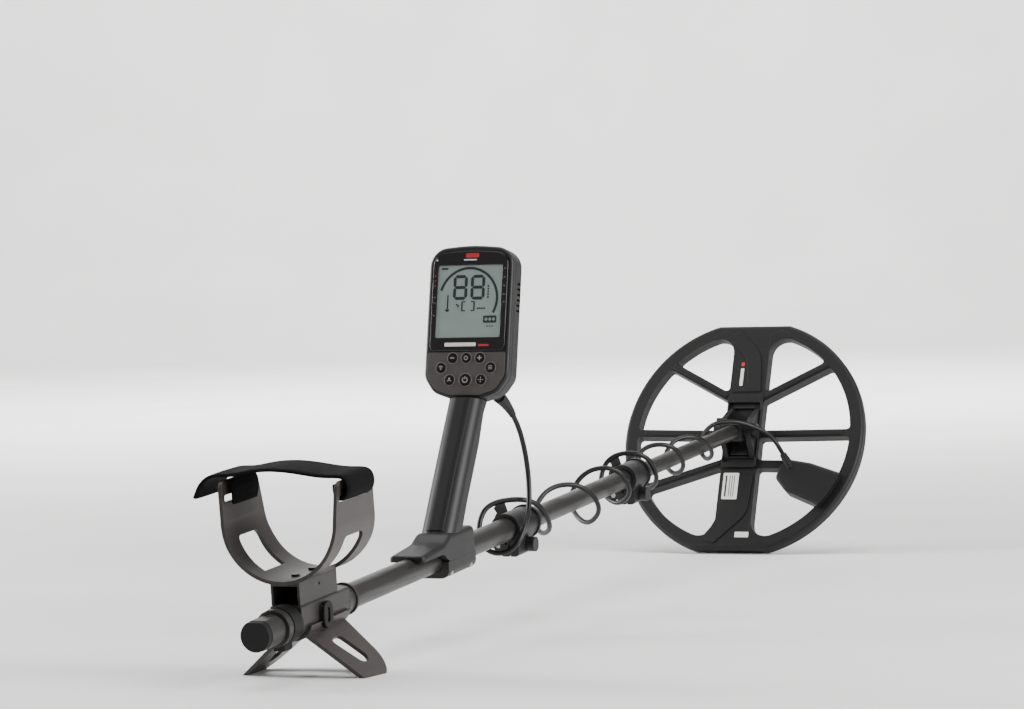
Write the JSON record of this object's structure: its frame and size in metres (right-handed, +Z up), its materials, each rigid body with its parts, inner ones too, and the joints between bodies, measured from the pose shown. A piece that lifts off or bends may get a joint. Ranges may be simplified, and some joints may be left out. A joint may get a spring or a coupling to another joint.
{
  "type": "metal detector",
  "caption": "Hand-held metal detector: spoked search coil on a telescopic shaft with cam locks, a grip with a display pod, and an armrest with strap and stand.",
  "frame": {"origin": "middle of the footprint, on the ground that the stand's feet and the coil's lower edge rest on", "axes": "+X forward from the armrest to the coil, +Y to the user's left, +Z up"},
  "size_m": [1.294, 0.28, 0.3495],
  "materials": {
    "tube": "satin woven carbon tube",
    "dark_plastic": "moulded glass-filled nylon, satin",
    "grey_plastic": "moulded nylon, warm grey, satin",
    "black_rubber": "matt black elastomer",
    "strap_fabric": "laminated neoprene, matt",
    "cable_jacket": "satin polyurethane jacket",
    "coil_shell": "fine-textured ABS",
    "gloss_black": "polished black polycarbonate",
    "display": "liquid crystal display, grey-green",
    "keycap": "silicone rubber keys",
    "circuit": "glass epoxy board",
    "steel": "stainless screws",
    "dark_steel": "black zinc-plated steel",
    "copper": "enamelled copper wire",
    "cell": "shrink-wrapped steel can"
  },
  "bodies": {
    "handle_frame": {"arm_cuff": "grey_plastic", "arm_strap": "strap_fabric", "armrest_clamp_ring": "dark_plastic", "armrest_front_collar": "grey_plastic", "armrest_riser": "grey_plastic", "armrest_saddle": "grey_plastic", "armrest_screws": "dark_steel", "battery_cell": "cell", "cable_middle": "cable_jacket", "cable_socket": "dark_plastic", "cable_upper": "cable_jacket", "circuit_board": "circuit", "connector_ring": "dark_plastic", "display_window": "gloss_black", "end_cap": "black_rubber", "grip_clamp": "dark_plastic", "grip_clamp_screws": "steel", "grip_left_shell": "dark_plastic", "grip_right_shell": "dark_plastic", "grip_soft_strip": "black_rubber", "keypad_membrane": "keycap", "lcd_panel": "display", "pod_front_shell": "dark_plastic", "pod_gasket": "black_rubber", "pod_rear_shell": "dark_plastic", "pod_screws": "steel", "port_cover": "black_rubber", "speaker": "dark_steel", "stand": "grey_plastic", "upper_lock_bolt": "steel", "upper_lock_collar": "dark_plastic", "upper_lock_nut": "grey_plastic", "upper_tube": "tube"},
    "button_minus": {"button_minus": "keycap"},
    "button_accept": {"button_accept": "keycap"},
    "button_plus": {"button_plus": "keycap"},
    "button_detect": {"button_detect": "keycap"},
    "button_settings": {"button_settings": "keycap"},
    "button_profile": {"button_profile": "keycap"},
    "button_power": {"button_power": "keycap"},
    "button_locate": {"button_locate": "keycap"},
    "upper_lever": {"upper_lock_lever": "dark_plastic"},
    "lower_lever": {"lower_lock_lever": "dark_plastic"},
    "middle_stage": {"middle_tube": "tube", "middle_tube_glide": "dark_plastic", "lower_lock_collar": "dark_plastic", "lower_lock_bolt": "steel", "lower_lock_nut": "grey_plastic", "cable_lower": "cable_jacket"},
    "lower_stage": {"lower_tube": "tube", "lower_tube_glide": "dark_plastic", "tube_knuckle": "dark_plastic", "friction_washers": "black_rubber", "cable_end": "cable_jacket"},
    "coil": {"coil_shell": "coil_shell", "skid_plate": "coil_shell", "coil_winding": "copper", "pivot_bolt": "dark_plastic", "pivot_nut": "dark_plastic", "coil_cable_boot": "black_rubber"}
  },
  "joints": [
    {"name": "press_minus", "type": "slide", "parent": "handle_frame", "child": "button_minus", "axis": [0.981, 0, -0.1942], "range_m": [0, 0.0008], "stiffness_N_per_m": 400, "springref_m": -0.0004},
    {"name": "press_accept", "type": "slide", "parent": "handle_frame", "child": "button_accept", "axis": [0.981, 0, -0.1942], "range_m": [0, 0.0008], "stiffness_N_per_m": 400, "springref_m": -0.0004},
    {"name": "press_plus", "type": "slide", "parent": "handle_frame", "child": "button_plus", "axis": [0.981, 0, -0.1942], "range_m": [0, 0.0008], "stiffness_N_per_m": 400, "springref_m": -0.0004},
    {"name": "press_detect", "type": "slide", "parent": "handle_frame", "child": "button_detect", "axis": [0.981, 0, -0.1942], "range_m": [0, 0.0008], "stiffness_N_per_m": 400, "springref_m": -0.0004},
    {"name": "press_settings", "type": "slide", "parent": "handle_frame", "child": "button_settings", "axis": [0.981, 0, -0.1942], "range_m": [0, 0.0008], "stiffness_N_per_m": 400, "springref_m": -0.0004},
    {"name": "press_profile", "type": "slide", "parent": "handle_frame", "child": "button_profile", "axis": [0.981, 0, -0.1942], "range_m": [0, 0.0008], "stiffness_N_per_m": 400, "springref_m": -0.0004},
    {"name": "press_power", "type": "slide", "parent": "handle_frame", "child": "button_power", "axis": [0.981, 0, -0.1942], "range_m": [0, 0.0008], "stiffness_N_per_m": 400, "springref_m": -0.0004},
    {"name": "press_locate", "type": "slide", "parent": "handle_frame", "child": "button_locate", "axis": [0.981, 0, -0.1942], "range_m": [0, 0.0008], "stiffness_N_per_m": 400, "springref_m": -0.0004},
    {"name": "upper_lock_cam", "type": "hinge", "parent": "handle_frame", "child": "upper_lever", "pos_m": [-0.08836, 0.0162, 0.06706], "axis": [-0.9971, 0, -0.0767], "range_deg": [0, 115]},
    {"name": "lower_lock_cam", "type": "hinge", "parent": "middle_stage", "child": "lower_lever", "pos_m": [0.22073, 0.0162, 0.09085], "axis": [-0.9971, 0, -0.0767], "range_deg": [0, 115]},
    {"name": "middle_slide", "type": "slide", "parent": "handle_frame", "child": "middle_stage", "axis": [0.9971, 0, 0.0767], "range_m": [-0.2, 0.05], "deforming": ["cable_middle"]},
    {"name": "lower_slide", "type": "slide", "parent": "middle_stage", "child": "lower_stage", "axis": [0.9971, 0, 0.0767], "range_m": [-0.18, 0.05], "deforming": ["cable_lower"]},
    {"name": "coil_tilt", "type": "hinge", "parent": "lower_stage", "child": "coil", "pos_m": [0.56329, 0, 0.13576], "axis": [0, 1, 0], "range_deg": [-28, 61], "deforming": ["cable_end"]}
  ]
}
